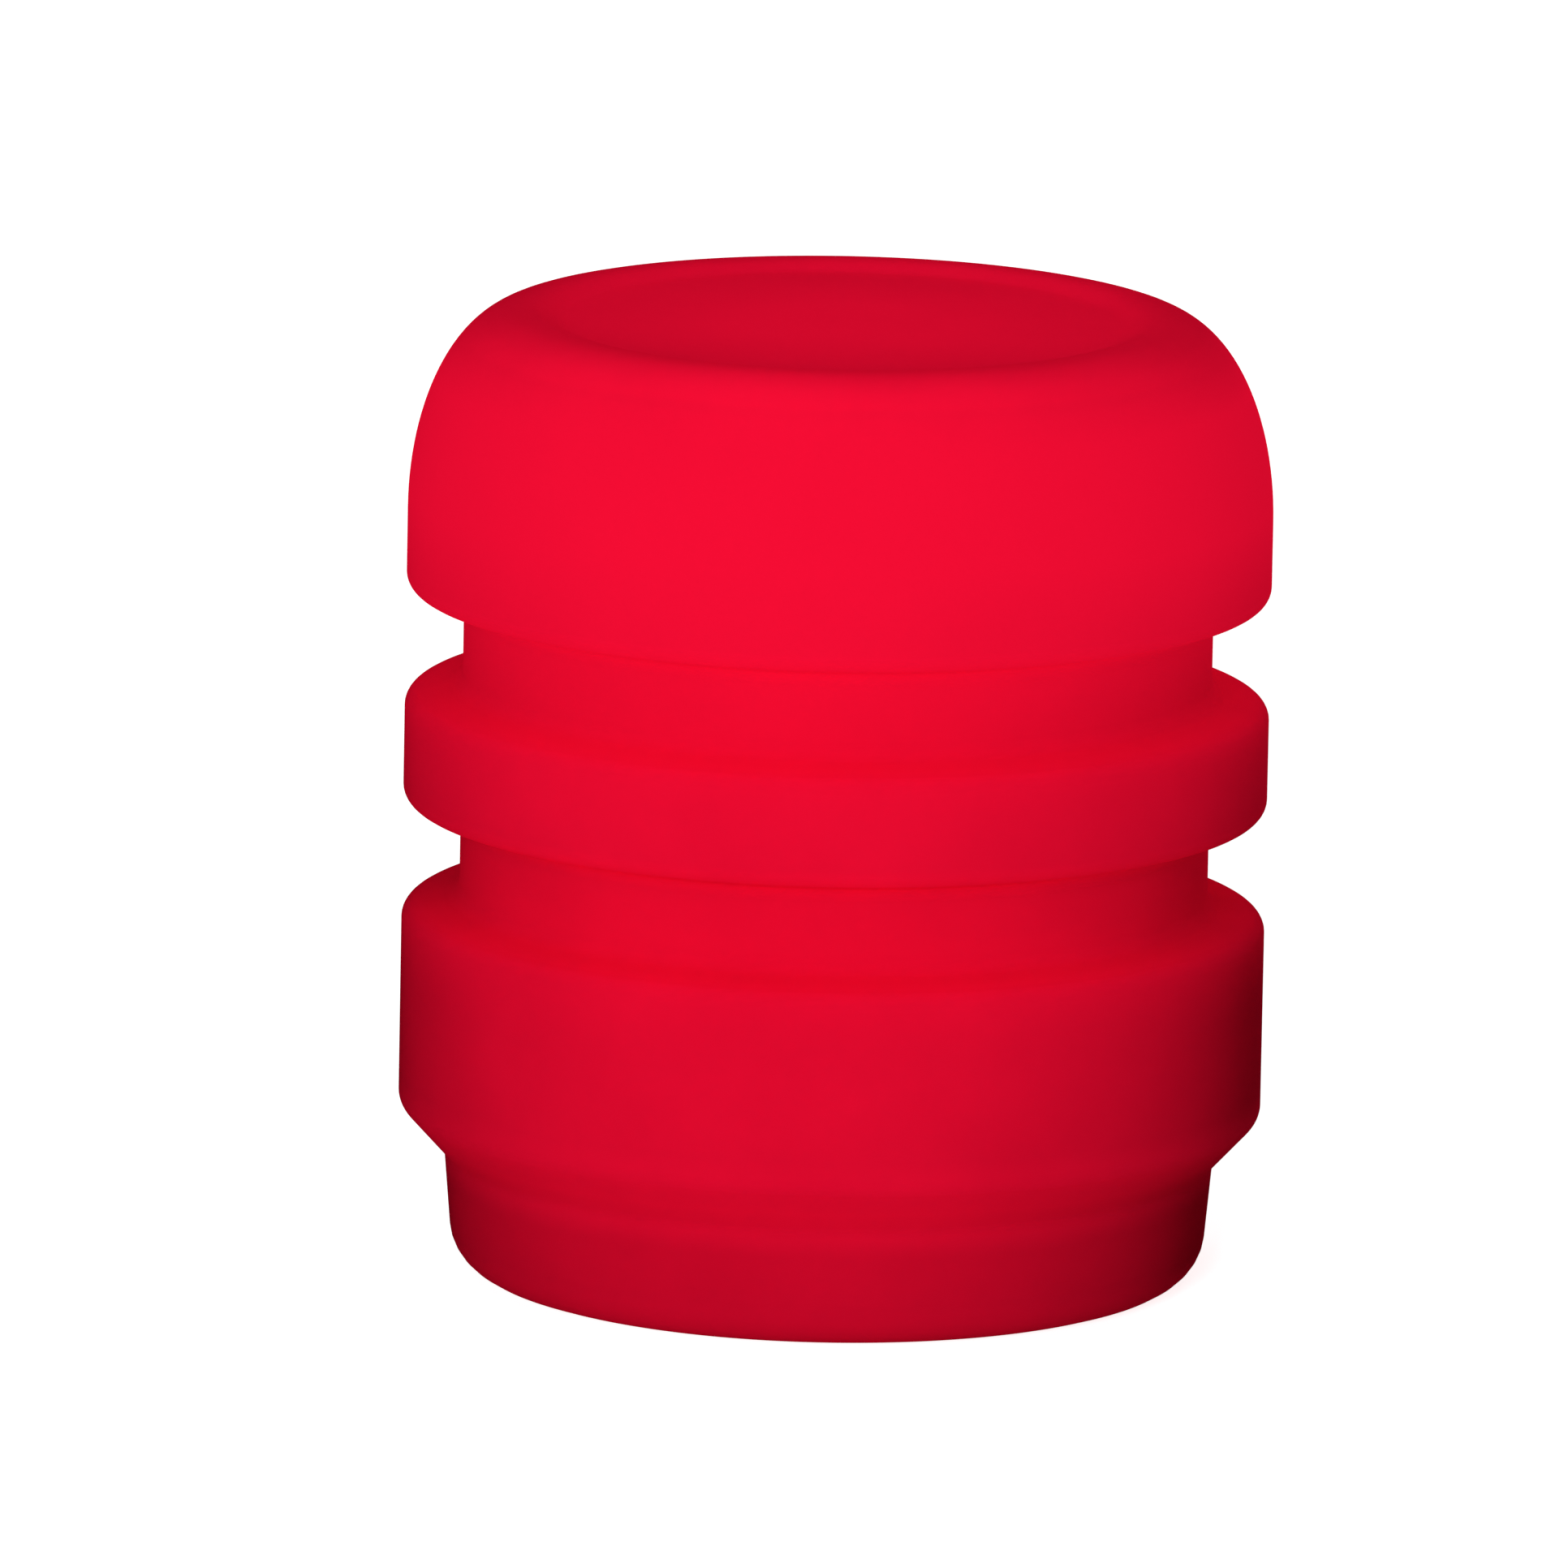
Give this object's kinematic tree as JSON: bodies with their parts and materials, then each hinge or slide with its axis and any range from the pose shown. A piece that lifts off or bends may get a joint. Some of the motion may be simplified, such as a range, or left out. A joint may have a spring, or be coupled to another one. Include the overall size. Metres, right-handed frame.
{
  "type": "tyre valve cap",
  "caption": "Red moulded plastic tyre valve cap with a rounded shoulder, grip grooves, a narrower neck, a blind threaded bore and a rubber sealing washer.",
  "frame": {"origin": "centre of the mouth rim, in the plane that the cap stands on", "axes": "+Z along the bore axis, from the mouth up to the closed top; X and Y are free, because the cap is turned about Z"},
  "size_m": [0.012, 0.012, 0.0136],
  "materials": {
    "red_plastic": "smooth matt red luminous plastic, slightly translucent",
    "seal_rubber": "matt black rubber"
  },
  "bodies": {
    "root": {"cap_body": "red_plastic", "sealing_washer": "seal_rubber"}
  },
  "joints": []
}
